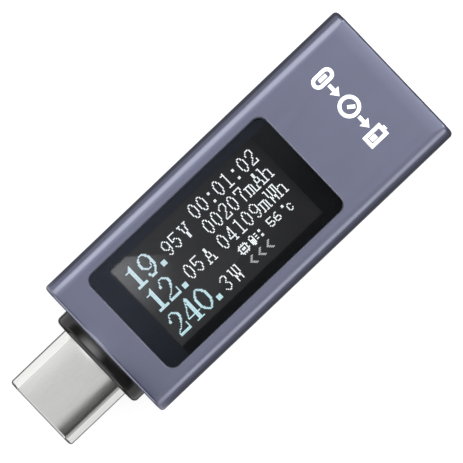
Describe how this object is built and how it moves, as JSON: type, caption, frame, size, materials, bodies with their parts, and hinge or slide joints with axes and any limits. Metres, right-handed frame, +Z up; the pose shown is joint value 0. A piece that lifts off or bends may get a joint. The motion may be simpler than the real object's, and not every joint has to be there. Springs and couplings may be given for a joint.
{
  "type": "usb power meter",
  "caption": "Inline USB-C power meter: a slim metal stick with a plug at one end, a socket at the other and a small colour display in its face.",
  "frame": {"origin": "bottom face, in the middle of the whole length from plug tip to socket end", "axes": "+X from the plug to the socket, +Y across, +Z up through the display"},
  "size_m": [0.0462, 0.016, 0.009],
  "materials": {
    "anodised_aluminium": "slate grey satin anodising",
    "black_cap": "glossy black moulding",
    "black_button": "fine matt black moulding",
    "cover_glass": "polished clear glass",
    "black_ink": "printed black",
    "black_tape": "thin black tape",
    "black_foam": "fine closed-cell foam",
    "polariser_film": "smooth dark film",
    "display_glass": "thin clear glass",
    "bare_chip": "polished silicon",
    "white_film": "matt white film",
    "clear_acrylic": "clear acrylic",
    "white_moulding": "matt white moulding",
    "lamp_resin": "yellow phosphor resin",
    "ribbon_film": "amber polyimide",
    "board_laminate": "green solder mask",
    "chip_resin": "fine matt black resin",
    "capacitor_ceramic": "fired tan ceramic",
    "resistor_black": "glazed black film",
    "can_metal": "satin lid",
    "plug_metal": "satin nickel plating",
    "spring_metal": "rolled spring steel",
    "connector_black": "matt black moulding",
    "contact_gold": "gold plating",
    "switch_black": "matt black moulding",
    "plunger_white": "white moulding"
  },
  "bodies": {
    "meter": {"housing_sleeve": "anodised_aluminium", "front_cap": "black_cap", "rear_cap": "black_cap", "display_window": "cover_glass", "window_mask": "black_ink", "window_tape": "black_tape", "display_gasket": "black_foam", "front_polariser": "polariser_film", "lcd_front_glass": "display_glass", "lcd_rear_glass": "display_glass", "display_driver": "bare_chip", "rear_polariser": "polariser_film", "diffuser_film": "white_film", "light_guide": "clear_acrylic", "reflector_film": "white_film", "backlight_tray": "white_moulding", "backlight_lamps": "lamp_resin", "display_ribbon": "ribbon_film", "display_pad": "black_foam", "main_board": "board_laminate", "microcontroller": "chip_resin", "current_sense_chip": "chip_resin", "shunt_resistor": "resistor_black", "voltage_regulator": "chip_resin", "power_inductor": "chip_resin", "crystal": "can_metal", "surge_diodes": "chip_resin", "capacitors": "capacitor_ceramic", "resistors": "resistor_black", "plug_shell": "plug_metal", "plug_insulator": "connector_black", "plug_contacts_upper": "contact_gold", "plug_contacts_lower": "contact_gold", "latch_plate": "spring_metal", "ground_springs": "spring_metal", "socket_shell": "plug_metal", "socket_tongue": "connector_black", "socket_mid_plate": "spring_metal", "socket_contacts_upper": "contact_gold", "socket_contacts_lower": "contact_gold", "switch_body": "switch_black", "switch_dome": "spring_metal", "switch_terminals": "can_metal"},
    "button": {"side_button": "black_button"},
    "plunger": {"switch_plunger": "plunger_white"},
    "latch_left": {"latch_left": "spring_metal"},
    "latch_right": {"latch_right": "spring_metal"}
  },
  "joints": [
    {"name": "button_press", "type": "slide", "parent": "meter", "child": "button", "axis": [0, 1, 0], "range_m": [0, 0.00025], "stiffness_N_per_m": 6000, "springref_m": -0.00005, "deforming": ["switch_dome"]},
    {"name": "plunger_press", "type": "slide", "parent": "meter", "child": "plunger", "axis": [0, 1, 0], "range_m": [0, 0.00025]},
    {"name": "latch_left_spread", "type": "hinge", "parent": "meter", "child": "latch_left", "pos_m": [-0.01652, 0.00327, 0.0045], "axis": [0, 0, -1], "range_deg": [0, 2.2], "stiffness_Nm_per_rad": 0.3},
    {"name": "latch_right_spread", "type": "hinge", "parent": "meter", "child": "latch_right", "pos_m": [-0.01652, -0.00383, 0.0045], "axis": [0, 0, 1], "range_deg": [0, 2.2], "stiffness_Nm_per_rad": 0.3}
  ],
  "couplings": [
    {"joint": "plunger_press", "follows": "button_press", "ratio": 1}
  ]
}
